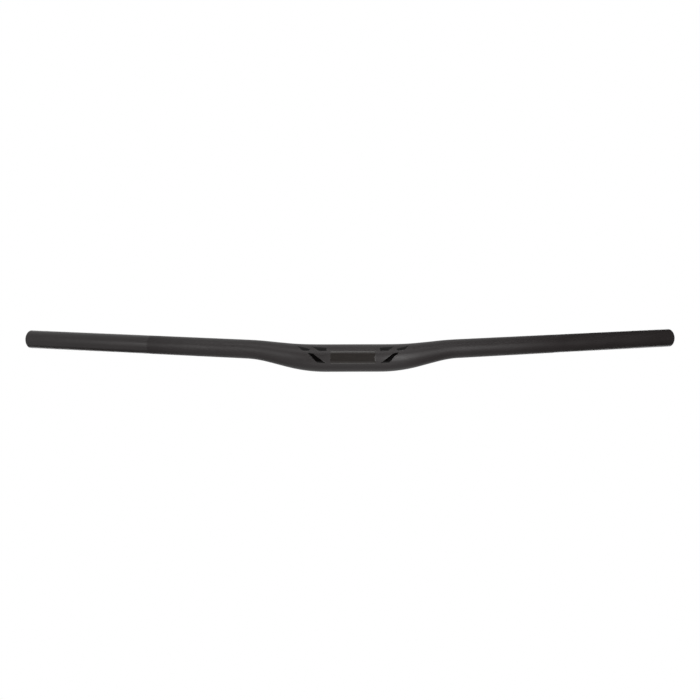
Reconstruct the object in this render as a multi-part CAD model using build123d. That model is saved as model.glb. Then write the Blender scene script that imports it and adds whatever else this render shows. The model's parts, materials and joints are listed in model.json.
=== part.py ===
from build123d import *
import os
from math import cos, pi, radians, tan

# Frame: origin on the bar's axis in the middle of the clamp zone, in millimetres.
# +X runs along the bar to one end, +Y points back to the rider and +Z points up.

# Overall form, with both sweeps in degrees
overall_width = 800.0
back_sweep = 9.0
up_sweep = 5.0

# Clamp zone, the straight middle that the stem holds
clamp_diameter = 31.8
clamp_length = 64.0
clamp_wall = 2.8

# Shoulder, from the inner bend at the clamp zone to the outer bend at the grip
shoulder_reach = 57.0
shoulder_setback = 7.0
shoulder_rise = 12.0
inner_bend_run = 22.0
outer_bend_run = 13.0
shoulder_sections = 13

# Grip, the straight end that takes a grip, a brake lever and an end plug
grip_diameter = 22.2
grip_wall = 2.3
cut_edge_bevel = 0.4


def bend_radius(run, way_in, way_out):
    """Radius of the arc that starts and ends at the given run from the corner between two straights."""
    turn = way_in.get_angle(way_out)
    return run / tan(radians(turn / 2))


def centre_line():
    """Edges of one half's centre line: clamp zone, inner bend, ramp, outer bend and grip."""
    middle = Vector(0, 0, 0)
    inner_corner = Vector(clamp_length / 2 + inner_bend_run, 0, 0)
    outer_corner = inner_corner + Vector(shoulder_reach, shoulder_setback, shoulder_rise)
    grip_way = Vector(1, tan(radians(back_sweep)), tan(radians(up_sweep)))
    tip = outer_corner + grip_way * (overall_width / 2 - outer_corner.X)
    ramp_way = outer_corner - inner_corner
    radii = [
        bend_radius(inner_bend_run, inner_corner - middle, ramp_way),
        bend_radius(outer_bend_run, ramp_way, grip_way),
    ]
    return FilletPolyline(middle, inner_corner, outer_corner, tip, radius=radii).edges().sort_by(Axis.X)


def square_to(line, share):
    """Plane square to a line at a share of its length, with one side kept level with the ground."""
    return Plane(line.position_at(share), x_dir=(0, 1, 0), z_dir=line.tangent_at(share))


def eased(share):
    """Share of the taper done at a share of the shoulder: no slope at either end."""
    return share * share * (3 - 2 * share)


def shoulder_loft(line, clamp_radius, grip_radius):
    """Round shoulder along its line, from one radius to the other.

    Its sections crowd towards both ends, which keeps it tangent to the straight tube there.
    """
    sections = []
    for number in range(shoulder_sections):
        share = (1 - cos(pi * number / (shoulder_sections - 1))) / 2
        radius = clamp_radius + (grip_radius - clamp_radius) * eased(share)
        sections.append(square_to(line, share) * Circle(radius))
    return loft(sections)


def round_bar(clamp_radius, grip_radius):
    """Solid bar of round section: a clamp zone, and a shoulder and a grip on each side."""
    clamp_run, *shoulder_runs, grip_run = centre_line()
    shoulder = shoulder_loft(Wire(shoulder_runs), clamp_radius, grip_radius)
    grip = extrude(square_to(grip_run, 0) * Circle(grip_radius), amount=grip_run.length)
    half = shoulder + grip
    clamp_zone = Cylinder(clamp_radius, 2 * clamp_run.length, rotation=(0, 90, 0))
    return clamp_zone + half + mirror(half, about=Plane.YZ)


def hollow_bar():
    """Bar with its bore, and bevelled edges at both cut ends."""
    outside = round_bar(clamp_diameter / 2, grip_diameter / 2)
    bore = round_bar(clamp_diameter / 2 - clamp_wall, grip_diameter / 2 - grip_wall)
    bar = outside - bore
    cut_ends = bar.faces().filter_by(GeomType.PLANE)
    return chamfer(cut_ends.edges(), cut_edge_bevel)


handlebar = hollow_bar()
handlebar.label = "handlebar"
os.makedirs("parts", exist_ok=True)
export_step(handlebar, "parts/handlebar.step")
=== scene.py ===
import json
import math
from collections import namedtuple
import bpy
from mathutils import Matrix, Vector


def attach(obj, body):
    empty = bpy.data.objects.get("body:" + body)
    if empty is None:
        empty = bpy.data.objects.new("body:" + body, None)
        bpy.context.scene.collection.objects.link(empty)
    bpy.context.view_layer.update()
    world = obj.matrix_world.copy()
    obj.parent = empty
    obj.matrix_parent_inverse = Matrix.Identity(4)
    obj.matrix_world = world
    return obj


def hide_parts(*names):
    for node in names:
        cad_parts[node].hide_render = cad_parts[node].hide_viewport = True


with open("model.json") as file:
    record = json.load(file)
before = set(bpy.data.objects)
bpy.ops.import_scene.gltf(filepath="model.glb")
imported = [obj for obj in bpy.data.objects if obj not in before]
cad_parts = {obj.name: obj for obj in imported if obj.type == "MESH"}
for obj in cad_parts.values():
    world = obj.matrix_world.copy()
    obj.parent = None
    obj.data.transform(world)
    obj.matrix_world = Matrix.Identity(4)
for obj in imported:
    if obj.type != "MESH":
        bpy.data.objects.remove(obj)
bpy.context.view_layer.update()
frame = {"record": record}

# Units: the scene is in metres, and small sizes are given in millimetres
millimetre = 0.001

# Sizes of the bar that its mounts give
mounts = {mount["name"]: mount for mount in frame["record"]["mounts"]}


def mount_size(name, dimension):
    """One dimension of a mount, in metres."""
    return mounts[name]["dims"][dimension] * millimetre


clamp_radius = mount_size("stem_clamp", "r_mm")
clamp_half = mount_size("stem_clamp", "length_mm") / 2
grip_radius = mount_size("grip_right", "r_mm")
grip_bore = mount_size("end_plug_right", "r_mm")
grip_way = Vector(mounts["grip_right"]["axis"]).normalized()
grip_middle = Vector(mounts["grip_right"]["pos_m"])

# Sizes of the bar that no mount gives
clamp_wall = 2.8 * millimetre
inner_bend_run = 22 * millimetre
outer_bend_run = 13 * millimetre
cut_bevel = 0.4 * millimetre
grip_run = mount_size("grip_right", "length_mm") + cut_bevel
clamp_bore = clamp_radius - clamp_wall

# Clear coat of the bar, which dulls towards the finish edge and is smoother outboard of it
finish_edge = 246 * millimetre
finish_blend = 0.2 * millimetre
dull_start = 190 * millimetre
coat_specular = 0.25
edge_specular = 0.15
inboard_roughness = 0.45
outboard_roughness = 0.35

# Laminate under the coat
fibre_tint = (1.18, 1, 1)
ply_thickness = 0.3 * millimetre
ply_waver = 0.1 * millimetre

# Gloss coats: how far their faces and rims stand out, and the width of the rim as a share of a mesh step
gloss_lift = 0.08 * millimetre
gloss_rim_lift = gloss_lift / 3
gloss_rim_share = 0.25

# Gloss panel on the front of the clamp zone, bare and a little left of the middle
panel_middle = -0.5 * millimetre
panel_half_length = 25.5 * millimetre
panel_top = math.radians(17.5)
panel_bottom = math.radians(-38.5)
panel_corner = 1.2 * millimetre
panel_tint = (1.13, 1, 0.92)

# Gloss stripes: four corners each, in millimetres along the bar and degrees round it
stripe_corners = {
    "slash": [(51.6, 8.5), (45.2, 6.0), (31.0, -34.5), (40.2, -32.5)],
    "inner_wedge": [(47.0, 41.0), (30.4, 34.0), (30.4, 18.0), (39.8, 18.5)],
    "outer_wedge": [(65.0, 43.0), (49.0, 25.0), (49.6, 16.5), (57.2, 15.5)],
}

# Fineness of the meshes
points_round = 144
shoulder_step = 1.5 * millimetre
straight_step = 8 * millimetre
cut_rings = 8
panel_step = 0.6 * millimetre
stripe_rows = 24
stripe_columns = 12
sharp_angle = math.radians(35)
rounding = 1e-6


# Centre line


def straight(start, way, length):
    """A straight run: its length, and the point and way at a distance along it."""

    def at(distance):
        return start + way * distance, way

    return length, at


def bend(corner, way_in, way_out, run):
    """An arc that touches both ways at the given run from their corner.

    As for a straight run, it gives its length, and the point and way at a distance along it.
    """
    turn = way_in.angle(way_out)
    radius = run / math.tan(turn / 2)
    start = corner - way_in * run
    inward = (way_out - way_in * math.cos(turn)).normalized()

    def at(distance):
        angle = distance / radius
        forward = way_in * math.sin(angle)
        sideways = inward * (1 - math.cos(angle))
        way = way_in * math.cos(angle) + inward * math.sin(angle)
        return start + (forward + sideways) * radius, way

    return radius * turn, at


def half_line():
    """Runs of the right half's centre line: clamp zone, inner bend, ramp, outer bend and grip."""
    middle = Vector((0, 0, 0))
    along = Vector((1, 0, 0))
    grip_start = grip_middle - grip_way * grip_run / 2
    inner_corner = along * (clamp_half + inner_bend_run)
    outer_corner = grip_start - grip_way * outer_bend_run
    ramp_way = (outer_corner - inner_corner).normalized()
    ramp_length = (outer_corner - inner_corner).length - inner_bend_run - outer_bend_run
    return [
        straight(middle, along, clamp_half),
        bend(inner_corner, along, ramp_way, inner_bend_run),
        straight(inner_corner + ramp_way * inner_bend_run, ramp_way, ramp_length),
        bend(outer_corner, ramp_way, grip_way, outer_bend_run),
        straight(grip_start, grip_way, grip_run),
    ]


line_runs = half_line()
half_length = sum(length for length, at in line_runs)
shoulder_length = half_length - clamp_half - grip_run


def section(station):
    """Centre, front and up of the round section at a station, which is negative on the left half."""
    run_start = 0
    for length, at in line_runs:
        distance = abs(station) - run_start
        if distance <= length:
            break
        run_start += length
    point, way = at(distance)
    front = Vector((0, -1, 0))
    front = (front - way * front.dot(way)).normalized()
    up = front.cross(way)
    if station < 0:
        mirror = Matrix.Diagonal((-1, 1, 1))
        return mirror @ point, mirror @ front, mirror @ up
    return point, front, up


def eased_radius(station, at_clamp, at_grip):
    """Radius at a station, eased from the clamp zone's to the grip's over the shoulder."""
    share = (abs(station) - clamp_half) / shoulder_length
    share = min(max(share, 0), 1)
    return at_clamp + (at_grip - at_clamp) * share * share * (3 - 2 * share)


def outside(station):
    """Outer radius of the bar at a station."""
    return eased_radius(station, clamp_radius, grip_radius)


def inside(station):
    """Radius of the bar's bore at a station."""
    return eased_radius(station, clamp_bore, grip_bore)


def round_section(place, radius, angle):
    """Point at a radius and an angle round a section. The angle starts at the front and goes up."""
    point, front, up = place
    return point + (front * math.cos(angle) + up * math.sin(angle)) * radius


def on_surface(station, angle, lift):
    """Point above the bar's outside, at a station and at an angle round the section."""
    return round_section(section(station), outside(station) + lift, angle)


# Mesh helpers


def add_piece(name, points, faces, materials, face_materials):
    """New mesh piece of the object, smooth but for its sharp edges, that rides on the bar."""
    mesh = bpy.data.meshes.new(name)
    mesh.from_pydata(points, [], faces)
    for material in materials:
        mesh.materials.append(material)
    mesh.polygons.foreach_set("material_index", face_materials)
    mesh.shade_smooth()
    mesh.set_sharp_from_angle(angle=sharp_angle)
    piece = bpy.data.objects.new(name, mesh)
    bpy.context.scene.collection.objects.link(piece)
    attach(piece, "root")
    return piece


def steps(start, end, step):
    """Evenly spaced values from start up to end, end left out, no further apart than the step."""
    count = math.ceil(abs(end - start) / step - rounding)
    return [start + (end - start) * number / count for number in range(count)]


# Material helpers

# Range that most of a noise lies in
noise_range = (0.3, 0.7)


def new_material(name):
    """Material with an empty node tree."""
    material = bpy.data.materials.new(name)
    material.use_nodes = True
    material.node_tree.nodes.clear()
    return material, material.node_tree


def add_node(tree, kind, inputs=None, **settings):
    """New node. An input that is a socket gets a link, and any other input gets a value."""
    node = tree.nodes.new(kind)
    for setting, value in settings.items():
        setattr(node, setting, value)
    for name, value in (inputs or {}).items():
        if isinstance(value, bpy.types.NodeSocket):
            tree.links.new(value, node.inputs[name])
        else:
            node.inputs[name].default_value = value
    return node


def math_node(tree, operation, first, second=0.0):
    """Result of one operation on one or two values."""
    node = add_node(tree, "ShaderNodeMath", {0: first, 1: second}, operation=operation)
    return node.outputs[0]


def blended(tree, first, second, share):
    """Mix of two values, by the first one's share."""
    first_part = math_node(tree, "MULTIPLY", first, share)
    second_part = math_node(tree, "MULTIPLY", second, 1 - share)
    return math_node(tree, "ADD", first_part, second_part)


def ranged(tree, value, low, high, at_low, at_high):
    """A value carried from one range to another."""
    inputs = {"Value": value, "From Min": low, "From Max": high, "To Min": at_low, "To Max": at_high}
    return add_node(tree, "ShaderNodeMapRange", inputs).outputs["Result"]


def stretched(tree, vector, scale):
    """A vector scaled along each axis."""
    return add_node(tree, "ShaderNodeMapping", {"Vector": vector, "Scale": scale}).outputs["Vector"]


def noise(tree, vector, cells, detail=2.0):
    """Noise between 0 and 1, with the number of its cells to a unit of the vector along each axis."""
    place = stretched(tree, vector, cells)
    node = add_node(tree, "ShaderNodeTexNoise", {"Vector": place, "Scale": 1.0, "Detail": detail})
    return node.outputs["Fac"]


def greys(tree, value, dark, light, tint=(1, 1, 1)):
    """Colour between two greys by a value between 0 and 1. The tint multiplies red, green and blue."""
    ramp = add_node(tree, "ShaderNodeValToRGB", {"Fac": value})
    ramp.color_ramp.elements[0].color = [dark * channel for channel in tint] + [1]
    ramp.color_ramp.elements[1].color = [light * channel for channel in tint] + [1]
    return ramp.outputs["Color"]


def bumped(tree, height, strength, depth):
    """Normal bumped by a height between 0 and 1, with the depth that a height of 1 stands for."""
    inputs = {"Height": height, "Strength": strength, "Distance": depth}
    return add_node(tree, "ShaderNodeBump", inputs).outputs["Normal"]


def finish_surface(tree, colour, roughness, specular, bump):
    """Ends a material with one shader."""
    inputs = {"Base Color": colour, "Roughness": roughness, "Specular IOR Level": specular, "Normal": bump}
    shader = add_node(tree, "ShaderNodeBsdfPrincipled", inputs)
    add_node(tree, "ShaderNodeOutputMaterial", {"Surface": shader.outputs["BSDF"]})


def object_place(tree):
    """Place in the object's own axes, in metres."""
    return add_node(tree, "ShaderNodeTexCoord").outputs["Object"]


def tube_place(tree):
    """Place on the bar in millimetres: its station, and a circle round the section, which has no seam.

    The station is also given by itself. On the cut ends it is the distance from the centre line instead.
    """
    tube_map = add_node(tree, "ShaderNodeUVMap", uv_map="tube_map").outputs["UV"]
    axes = add_node(tree, "ShaderNodeSeparateXYZ", {"Vector": tube_map}).outputs
    station = math_node(tree, "DIVIDE", axes["X"], millimetre)
    turn = math_node(tree, "MULTIPLY", axes["Y"], 2 * math.pi)
    radius = clamp_radius / millimetre
    across = math_node(tree, "MULTIPLY", math_node(tree, "COSINE", turn), radius)
    upward = math_node(tree, "MULTIPLY", math_node(tree, "SINE", turn), radius)
    place = add_node(tree, "ShaderNodeCombineXYZ", {"X": station, "Y": across, "Z": upward})
    return place.outputs["Vector"], station


# Materials


def satin_carbon():
    """Satin clear coat over dark fibre, with faint streaks along the bar."""
    material, tree = new_material("satin_carbon")
    place, station = tube_place(tree)
    streaks = noise(tree, place, cells=(0.03, 1.4, 1.4), detail=3.0)
    clouds = noise(tree, place, cells=(0.03, 0.08, 0.08))
    peel = noise(tree, place, cells=(1.6, 1.6, 1.6))
    fibre = blended(tree, streaks, clouds, share=0.6)
    colour = greys(tree, fibre, dark=0.008, light=0.016, tint=fibre_tint)
    from_middle = math_node(tree, "ABSOLUTE", station)
    blend_start = (finish_edge - finish_blend) / millimetre
    blend_end = (finish_edge + finish_blend) / millimetre
    coat = ranged(tree, from_middle, blend_start, blend_end, inboard_roughness, outboard_roughness)
    uneven = ranged(tree, clouds, *noise_range, at_low=-0.03, at_high=0.03)
    roughness = math_node(tree, "ADD", coat, uneven)
    relief = blended(tree, peel, streaks, share=0.5)
    bump = bumped(tree, relief, strength=0.1, depth=0.02 * millimetre)
    dulled = ranged(tree, from_middle, dull_start / millimetre, blend_start, coat_specular, edge_specular)
    restored = ranged(tree, from_middle, blend_start, blend_end, 0, coat_specular - edge_specular)
    specular = math_node(tree, "ADD", dulled, restored)
    finish_surface(tree, colour, roughness, specular, bump)
    return material


def cut_laminate():
    """Cut end of the wall: fine rings where the plies end."""
    material, tree = new_material("cut_laminate")
    place, radius = tube_place(tree)
    waver = ply_waver / millimetre
    ragged = ranged(tree, noise(tree, place, cells=(1, 1, 1)), 0, 1, at_low=-waver, at_high=waver)
    turns_to_a_millimetre = 2 * math.pi * millimetre / ply_thickness
    plies = math_node(tree, "MULTIPLY", math_node(tree, "ADD", radius, ragged), turns_to_a_millimetre)
    rings = ranged(tree, math_node(tree, "SINE", plies), -1, 1, at_low=0, at_high=1)
    colour = greys(tree, rings, dark=0.045, light=0.12)
    roughness = ranged(tree, rings, 0, 1, at_low=0.45, at_high=0.7)
    bump = bumped(tree, rings, strength=0.4, depth=0.03 * millimetre)
    finish_surface(tree, colour, roughness, specular=0.3, bump=bump)
    return material


def raw_bore():
    """Raw inside of the tube: resin with long wrinkles left by moulding."""
    material, tree = new_material("raw_bore")
    place = tube_place(tree)[0]
    wrinkles = noise(tree, place, cells=(0.05, 0.35, 0.35), detail=4.0)
    colour = greys(tree, wrinkles, dark=0.035, light=0.09)
    roughness = ranged(tree, wrinkles, *noise_range, at_low=0.35, at_high=0.55)
    bump = bumped(tree, wrinkles, strength=0.8, depth=0.3 * millimetre)
    finish_surface(tree, colour, roughness, specular=0.4, bump=bump)
    return material


def gloss_black(name, dark, light, tint, specular, smoothest, roughest):
    """Smooth gloss ink over the fibre, with faint streaks and a slight orange peel."""
    material, tree = new_material(name)
    place = stretched(tree, object_place(tree), scale=(1 / millimetre,) * 3)
    streaks = noise(tree, place, cells=(0.05, 1.4, 1.4), detail=3.0)
    peel = noise(tree, place, cells=(0.7, 0.7, 0.7))
    colour = greys(tree, streaks, dark, light, tint)
    roughness = ranged(tree, streaks, *noise_range, at_low=smoothest, at_high=roughest)
    bump = bumped(tree, peel, strength=0.1, depth=0.01 * millimetre)
    finish_surface(tree, colour, roughness, specular, bump)
    return material


def panel_gloss():
    """Gloss of the panel."""
    return gloss_black(
        "panel_gloss",
        dark=0.011,
        light=0.020,
        tint=panel_tint,
        specular=0.24,
        smoothest=0.15,
        roughest=0.19,
    )


def stripe_gloss():
    """Deeper and smoother gloss of the stripes."""
    return gloss_black(
        "stripe_gloss",
        dark=0.0008,
        light=0.002,
        tint=fibre_tint,
        specular=0.15,
        smoothest=0.06,
        roughest=0.10,
    )


# Bar

# A ring has a station, a radius, a first place on the tube map and the material of the strip after it
Ring = namedtuple("Ring", ["station", "radius", "mapped", "material"])

# Numbers of the bar's materials in the order of its list
coat, cut, bore = 0, 1, 2


def ring_stations():
    """Stations of the rings from the left end to the right end, closer together on the shoulders."""
    end = half_length - cut_bevel
    shoulder_end = clamp_half + shoulder_length
    stations = steps(-end, -shoulder_end, straight_step)
    stations += steps(-shoulder_end, -clamp_half, shoulder_step)
    stations += steps(-clamp_half, clamp_half, straight_step)
    stations += steps(clamp_half, shoulder_end, shoulder_step)
    stations += steps(shoulder_end, end, straight_step)
    return stations + [end]


def bar_rings():
    """Rings round the wall in order: the outside, the right cut, back along the bore, and the left cut."""
    outer_edge = grip_radius - cut_bevel
    inner_edge = grip_bore + cut_bevel
    stations = ring_stations()
    cut_radii = steps(outer_edge, inner_edge, (outer_edge - inner_edge) / cut_rings) + [inner_edge]
    rings = [Ring(station, outside(station), station, coat) for station in stations]
    rings += [Ring(half_length, radius, radius, cut) for radius in cut_radii]
    rings += [Ring(station, inside(station), station, bore) for station in reversed(stations)]
    rings += [Ring(-half_length, radius, radius, cut) for radius in reversed(cut_radii)]
    return rings


def ring_points(ring):
    """Points round a ring, from the front over the top to the back and on under the bottom."""
    place = section(ring.station)
    angles = [2 * math.pi * number / points_round for number in range(points_round)]
    return [round_section(place, ring.radius, angle) for angle in angles]


def map_tube(mesh, rings):
    """Tube map of the bar: the mapped place of each ring, and the share of the turn round it."""
    tube_map = mesh.uv_layers.new(name="tube_map")
    for face, polygon in enumerate(mesh.polygons):
        here, number = divmod(face, points_round)
        after = (here + 1) % len(rings)
        along = [rings[here].mapped, rings[here].mapped, rings[after].mapped, rings[after].mapped]
        turns = [number, number + 1, number + 1, number]
        for corner, loop in enumerate(polygon.loop_indices):
            tube_map.uv[loop].vector = (along[corner], turns[corner] / points_round)


def make_bar():
    """The hollow bar as one closed wall, with the tube map that its materials read."""
    rings = bar_rings()
    points = []
    faces = []
    face_materials = []
    for here, ring in enumerate(rings):
        points += ring_points(ring)
        after = (here + 1) % len(rings)
        for number in range(points_round):
            beside = (number + 1) % points_round
            corners = [(here, number), (here, beside), (after, beside), (after, number)]
            faces.append([row * points_round + column for row, column in corners])
            face_materials.append(ring.material)
    materials = [satin_carbon(), cut_laminate(), raw_bore()]
    bar = add_piece("handlebar_tube", points, faces, materials, face_materials)
    map_tube(bar.data, rings)
    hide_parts("handlebar")


make_bar()


# Gloss panel and stripes


def coat_faces(rows, columns):
    """Faces of a closed coat: a grid above, the same grid turned over below, and a strip round the rim."""
    under = rows * columns
    faces = []
    for row in range(rows - 1):
        for column in range(columns - 1):
            corner = row * columns + column
            face = [corner, corner + 1, corner + columns + 1, corner + columns]
            faces.append(face)
            faces.append([under + index for index in reversed(face)])
    rim = list(range(columns))
    rim += [row * columns + columns - 1 for row in range(1, rows)]
    rim += [(rows - 1) * columns + column for column in range(columns - 2, -1, -1)]
    rim += [row * columns for row in range(rows - 2, 0, -1)]
    for here, after in zip(rim, rim[1:] + rim[:1]):
        faces.append([here, under + here, under + after, after])
    return faces


def add_coat(name, grid, material):
    """Thin closed coat over a grid of places on the bar's outside, with a lower rim.

    The grid's rows go up and its columns go right, and each place is a station and an angle.
    """
    rows = len(grid)
    columns = len(grid[0])
    points = []
    for row, places in enumerate(grid):
        for column, (station, angle) in enumerate(places):
            on_rim = row in (0, rows - 1) or column in (0, columns - 1)
            points.append(on_surface(station, angle, gloss_rim_lift if on_rim else gloss_lift))
    for places in grid:
        points += [on_surface(station, angle, -gloss_lift) for station, angle in places]
    faces = coat_faces(rows, columns)
    add_piece(name, points, faces, [material], [0] * len(faces))


def spread(count):
    """Shares from 0 to 1 in even steps, with one more close to each end for a rounded edge."""
    shares = [number / count for number in range(count + 1)]
    edge = gloss_rim_share / count
    return [0, edge] + shares[1:-1] + [1 - edge, 1]


def panel_grid():
    """Places on the panel, row by row, with the rows drawn in at its round corners."""
    half_height = clamp_radius * (panel_top - panel_bottom) / 2
    columns = spread(round(2 * panel_half_length / panel_step))
    grid = []
    for up in spread(round(2 * half_height / panel_step)):
        height = (2 * up - 1) * half_height
        past = max(abs(height) - (half_height - panel_corner), 0)
        drawn_in = panel_corner - math.sqrt(max(panel_corner**2 - past**2, 0))
        reach = panel_half_length - drawn_in
        angle = panel_bottom + (panel_top - panel_bottom) * up
        grid.append([(panel_middle + (2 * right - 1) * reach, angle) for right in columns])
    return grid


def stripe_grid(corners):
    """Places between four corners on the bar's right half, row by row."""
    outer_top, inner_top, inner_bottom, outer_bottom = [
        Vector((station * millimetre, math.radians(angle))) for station, angle in corners
    ]
    grid = []
    for up in spread(stripe_rows):
        inner = inner_bottom.lerp(inner_top, up)
        outer = outer_bottom.lerp(outer_top, up)
        grid.append([tuple(inner.lerp(outer, right)) for right in spread(stripe_columns)])
    return grid


def mirrored(grid):
    """The places of a grid on the other half of the bar, with its columns still going right."""
    return [[(-station, angle) for station, angle in reversed(places)] for places in grid]


def make_panel_and_stripes():
    """The bare panel, and the stripes as mirror images on the two sides."""
    add_coat("gloss_panel", panel_grid(), panel_gloss())
    ink = stripe_gloss()
    for name, corners in stripe_corners.items():
        right_half = stripe_grid(corners)
        add_coat("right_" + name, right_half, ink)
        add_coat("left_" + name, mirrored(right_half), ink)


make_panel_and_stripes()

# Camera, set to the photo: the bar is seen from the front and a little below
camera_distance = 690 * millimetre
camera_elevation = math.radians(-13)
camera_tilt = math.radians(13.768)
camera_turn = math.radians(-0.757)
camera_roll = math.radians(-0.319)
camera_side = -3.43 * millimetre
nearest_seen = 10 * millimetre
focal_pixels = 597.5
image_pixels = 700
sensor_width = 36


def make_camera():
    """Camera at the photo's place and angle."""
    data = bpy.data.cameras.new("camera")
    data.sensor_fit = "HORIZONTAL"
    data.sensor_width = sensor_width
    data.lens = focal_pixels / image_pixels * sensor_width
    data.clip_start = nearest_seen
    camera = bpy.data.objects.new("camera", data)
    bpy.context.scene.collection.objects.link(camera)
    back = -camera_distance * math.cos(camera_elevation)
    height = camera_distance * math.sin(camera_elevation)
    turned = Matrix.Rotation(camera_turn, 4, "Z")
    tilted = Matrix.Rotation(math.pi / 2 + camera_tilt, 4, "X")
    rolled = Matrix.Rotation(camera_roll, 4, "Z")
    placed = Matrix.Translation((camera_side, back, height))
    camera.matrix_world = turned @ placed @ tilted @ rolled
    bpy.context.scene.camera = camera


make_camera()

# World
world_fill = 0.4


def seen(tree):
    """1 where the camera looks, straight or in a reflection, and 0 for the light that falls on things."""
    path = add_node(tree, "ShaderNodeLightPath").outputs
    in_reflection = math_node(tree, "MAXIMUM", path["Is Glossy Ray"], path["Is Transmission Ray"])
    return math_node(tree, "MAXIMUM", path["Is Camera Ray"], in_reflection)


def make_world():
    """White to the camera and in reflections, and a dim even fill for the rest."""
    world = bpy.data.worlds.new("studio")
    bpy.context.scene.world = world
    world.use_nodes = True
    tree = world.node_tree
    tree.nodes.clear()
    strength = ranged(tree, seen(tree), 0, 1, at_low=world_fill, at_high=1)
    background = add_node(tree, "ShaderNodeBackground", {"Color": (1, 1, 1, 1), "Strength": strength})
    add_node(tree, "ShaderNodeOutputWorld", {"Surface": background.outputs["Background"]})


make_world()

# Floor
floor_middle = (0, -0.25, -1.0)
floor_radius = 2.0
floor_fade_start = 0.4
floor_paleness = 0.65
floor_sides = 96


def pale_floor():
    """Pale matt floor that takes shadows and fades out into the white round it."""
    material, tree = new_material("pale_floor")
    place = object_place(tree)
    grain = noise(tree, place, cells=(60, 60, 60), detail=3.0)
    matt = add_node(tree, "ShaderNodeBsdfDiffuse", {"Color": greys(tree, grain, dark=0.28, light=0.32)})
    strength = ranged(tree, seen(tree), 0, 1, at_low=0, at_high=floor_paleness)
    pale = add_node(tree, "ShaderNodeEmission", {"Strength": strength})
    both = add_node(tree, "ShaderNodeAddShader", {0: matt.outputs["BSDF"], 1: pale.outputs["Emission"]})
    reach = add_node(tree, "ShaderNodeVectorMath", {0: place}, operation="LENGTH").outputs["Value"]
    fade = ranged(tree, reach, floor_fade_start, floor_radius, at_low=0, at_high=1)
    clear = add_node(tree, "ShaderNodeBsdfTransparent")
    layers = {0: fade, 1: both.outputs["Shader"], 2: clear.outputs["BSDF"]}
    faded = add_node(tree, "ShaderNodeMixShader", layers)
    add_node(tree, "ShaderNodeOutputMaterial", {"Surface": faded.outputs["Shader"]})
    return material


def make_floor():
    """Round floor below the view."""
    points = [(0, 0, 0)]
    for number in range(floor_sides):
        angle = 2 * math.pi * number / floor_sides
        points.append((floor_radius * math.cos(angle), floor_radius * math.sin(angle), 0))
    faces = [(0, 1 + number, 1 + (number + 1) % floor_sides) for number in range(floor_sides)]
    mesh = bpy.data.meshes.new("floor")
    mesh.from_pydata(points, [], faces)
    mesh.materials.append(pale_floor())
    floor = bpy.data.objects.new("floor", mesh)
    floor.location = floor_middle
    bpy.context.scene.collection.objects.link(floor)


make_floor()

# Black cards: behind the camera, along the right side, and at the back on the left
front_card_y = -1.2
front_card_left = -0.85
front_card_low = -1.4
front_card_high = 0.58
right_card_x = 0.75
right_card_back = 1.0
right_card_low = -1.2
right_card_high = 1.4
left_card_x = -0.8
left_card_front = 0.2
left_card_back = 1.2
left_card_low = -1.2
left_card_high = 0.6


def black_cloth():
    """Dull black studio cloth."""
    material, tree = new_material("black_cloth")
    weave = noise(tree, object_place(tree), cells=(300, 300, 300))
    cloth = add_node(tree, "ShaderNodeBsdfDiffuse", {"Color": greys(tree, weave, dark=0.01, light=0.03)})
    add_node(tree, "ShaderNodeOutputMaterial", {"Surface": cloth.outputs["BSDF"]})
    return material


def make_card(name, start, end, low, high, cloth):
    """Upright black card between two places in plan. It shows in reflections alone and shades nothing."""
    corners = [(*start, low), (*end, low), (*end, high), (*start, high)]
    mesh = bpy.data.meshes.new(name)
    mesh.from_pydata(corners, [], [(0, 1, 2, 3)])
    mesh.materials.append(cloth)
    card = bpy.data.objects.new(name, mesh)
    card.visible_camera = False
    card.visible_diffuse = False
    card.visible_shadow = False
    bpy.context.scene.collection.objects.link(card)


def make_cards():
    """A card behind the camera keeps the bar's front dark, and one on each side keeps its ends dark."""
    cloth = black_cloth()
    left_near = (left_card_x, left_card_front)
    left_far = (left_card_x, left_card_back)
    front_left = (front_card_left, front_card_y)
    front_right = (right_card_x, front_card_y)
    right_far = (right_card_x, right_card_back)
    make_card("left_card", left_near, left_far, left_card_low, left_card_high, cloth)
    make_card("front_card", front_left, front_right, front_card_low, front_card_high, cloth)
    make_card("right_card", front_right, right_far, right_card_low, right_card_high, cloth)


make_cards()


# Lamps


def softbox(name, azimuth, elevation, distance, width, height, radiance):
    """Soft rectangular lamp aimed at the clamp zone. Azimuth 0 is in front, and right is positive."""
    data = bpy.data.lights.new(name, "AREA")
    data.shape = "RECTANGLE"
    data.size = width
    data.size_y = height
    data.energy = radiance * math.pi * width * height
    lamp = bpy.data.objects.new(name, data)
    bpy.context.scene.collection.objects.link(lamp)
    turn = math.radians(azimuth)
    rise = math.radians(elevation)
    away = Vector((math.sin(turn) * math.cos(rise), -math.cos(turn) * math.cos(rise), math.sin(rise)))
    lamp.location = away * distance
    lamp.rotation_mode = "QUATERNION"
    lamp.rotation_quaternion = away.to_track_quat("Z", "Y")
    lamp.visible_camera = False


softbox("upper_lamp", azimuth=0, elevation=42, distance=1.0, width=1.2, height=0.28, radiance=3.6)
softbox("right_lamp", azimuth=24, elevation=-14, distance=1.0, width=0.14, height=0.7, radiance=30)
softbox("left_lamp", azimuth=-38, elevation=-8, distance=1.15, width=0.4, height=0.6, radiance=4.8)
for name, azimuth in (("back_right_lamp", 130), ("back_left_lamp", -130)):
    softbox(name, azimuth, elevation=5, distance=0.7, width=0.4, height=0.5, radiance=2.5)
softbox("low_lamp", azimuth=0, elevation=-61, distance=0.6, width=0.5, height=0.11, radiance=3.4)
bpy.context.scene.view_settings.view_transform = "Standard"
